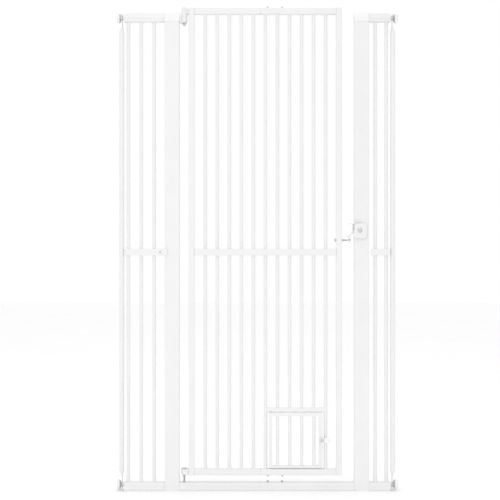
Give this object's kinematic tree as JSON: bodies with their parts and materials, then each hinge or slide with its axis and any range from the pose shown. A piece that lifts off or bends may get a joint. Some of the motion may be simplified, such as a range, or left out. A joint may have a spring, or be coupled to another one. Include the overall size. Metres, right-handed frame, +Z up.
{
  "type": "pet gate",
  "caption": "Extra-tall white steel pressure-fit pet gate with a walk-through door, a small cat door, a lift lock and screw-out wall cups.",
  "frame": {"origin": "on the floor, under the middle of the threshold, midway between the two walls", "axes": "+Z up, +X to the right along the wall span, towards the lock, -Y to the front"},
  "size_m": [1.0454, 0.0513, 1.8056],
  "materials": {
    "powder_white": "satin powder coat",
    "zinc": "bright zinc plate",
    "white_plastic": "satin moulded plastic"
  },
  "bodies": {
    "frame": {"left_post": "powder_white", "right_post": "powder_white", "left_post_cap": "white_plastic", "right_post_cap": "white_plastic", "left_wing_top_rail": "powder_white", "left_wing_mid_rail": "powder_white", "left_wing_bottom_rail": "powder_white", "left_wing_bar_1": "powder_white", "left_wing_bar_2": "powder_white", "left_wing_bar_3": "powder_white", "right_wing_top_rail": "powder_white", "right_wing_mid_rail": "powder_white", "right_wing_bottom_rail": "powder_white", "right_wing_bar_1": "powder_white", "right_wing_bar_2": "powder_white", "threshold_left": "powder_white", "threshold_right": "powder_white", "left_gap_bar": "powder_white", "right_gap_bar": "powder_white", "top_hinge_bracket": "powder_white", "bottom_hinge_pin": "zinc", "lock_cover": "powder_white"},
    "door": {"door_hinge_stile": "powder_white", "door_lock_stile": "powder_white", "door_top_rail_left": "powder_white", "door_top_rail_right": "powder_white", "door_mid_rail": "powder_white", "door_bottom_rail_left": "powder_white", "door_bottom_rail_right": "powder_white", "door_bar_1": "powder_white", "door_bar_2": "powder_white", "door_bar_3": "powder_white", "door_bar_4": "powder_white", "door_bar_5": "powder_white", "door_bar_6": "powder_white", "door_bar_7": "powder_white", "door_bar_8": "powder_white", "door_bar_9": "powder_white", "door_bar_10": "powder_white", "door_bar_11": "powder_white", "cat_door_header": "powder_white", "top_hinge_barrel": "powder_white", "bottom_hinge_ear": "powder_white", "strike_pin": "zinc"},
    "cat_door": {"cat_door_grille": "powder_white"},
    "cat_latch": {"cat_door_latch": "white_plastic"},
    "lock_claw": {"lock_claw": "powder_white", "lock_knob": "zinc"},
    "top_left_spindle": {"top_left_spindle": "zinc", "top_left_wall_cup": "white_plastic"},
    "top_left_nut": {"top_left_hand_nut": "zinc"},
    "top_right_spindle": {"top_right_spindle": "zinc", "top_right_wall_cup": "white_plastic"},
    "top_right_nut": {"top_right_hand_nut": "zinc"},
    "bottom_left_spindle": {"bottom_left_spindle": "zinc", "bottom_left_wall_cup": "white_plastic"},
    "bottom_left_nut": {"bottom_left_hand_nut": "zinc"},
    "bottom_right_spindle": {"bottom_right_spindle": "zinc", "bottom_right_wall_cup": "white_plastic"},
    "bottom_right_nut": {"bottom_right_hand_nut": "zinc"}
  },
  "joints": [
    {"name": "door_hinge", "type": "hinge", "parent": "frame", "child": "door", "pos_m": [-0.2726, 0, 0], "axis": [0, 0, 1], "range_deg": [-90, 90]},
    {"name": "cat_door_hinge", "type": "hinge", "parent": "door", "child": "cat_door", "pos_m": [0.0497, 0, 0.1878], "axis": [0, 0, 1], "range_deg": [0, 90]},
    {"name": "cat_latch_turn", "type": "hinge", "parent": "door", "child": "cat_latch", "pos_m": [0.259, 0, 0.1901], "axis": [0, 1, 0], "range_deg": [0, 90]},
    {"name": "lock_claw_lift", "type": "hinge", "parent": "frame", "child": "lock_claw", "pos_m": [0.381, 0, 0.9712], "axis": [0, 1, 0], "range_deg": [-10, 30]},
    {"name": "top_left_spindle_slide", "type": "slide", "parent": "frame", "child": "top_left_spindle", "axis": [-1, 0, 0], "range_m": [0, 0.018]},
    {"name": "top_left_nut_turn", "type": "hinge", "parent": "frame", "child": "top_left_nut", "pos_m": [-0.5079, 0, 1.7642], "axis": [-1, 0, 0], "range_deg": [0, 4325]},
    {"name": "top_right_spindle_slide", "type": "slide", "parent": "frame", "child": "top_right_spindle", "axis": [1, 0, 0], "range_m": [0, 0.018]},
    {"name": "top_right_nut_turn", "type": "hinge", "parent": "frame", "child": "top_right_nut", "pos_m": [0.5079, 0, 1.7642], "axis": [1, 0, 0], "range_deg": [0, 4325]},
    {"name": "bottom_left_spindle_slide", "type": "slide", "parent": "frame", "child": "bottom_left_spindle", "axis": [-1, 0, 0], "range_m": [0, 0.018]},
    {"name": "bottom_left_nut_turn", "type": "hinge", "parent": "frame", "child": "bottom_left_nut", "pos_m": [-0.5079, 0, 0.022], "axis": [-1, 0, 0], "range_deg": [0, 4325]},
    {"name": "bottom_right_spindle_slide", "type": "slide", "parent": "frame", "child": "bottom_right_spindle", "axis": [1, 0, 0], "range_m": [0, 0.018]},
    {"name": "bottom_right_nut_turn", "type": "hinge", "parent": "frame", "child": "bottom_right_nut", "pos_m": [0.5079, 0, 0.022], "axis": [1, 0, 0], "range_deg": [0, 4325]}
  ],
  "couplings": [
    {"joint": "top_left_nut_turn", "follows": "top_left_spindle_slide", "rad_per_m": 4188.8},
    {"joint": "top_right_nut_turn", "follows": "top_right_spindle_slide", "rad_per_m": 4188.8},
    {"joint": "bottom_left_nut_turn", "follows": "bottom_left_spindle_slide", "rad_per_m": 4188.8},
    {"joint": "bottom_right_nut_turn", "follows": "bottom_right_spindle_slide", "rad_per_m": 4188.8}
  ]
}
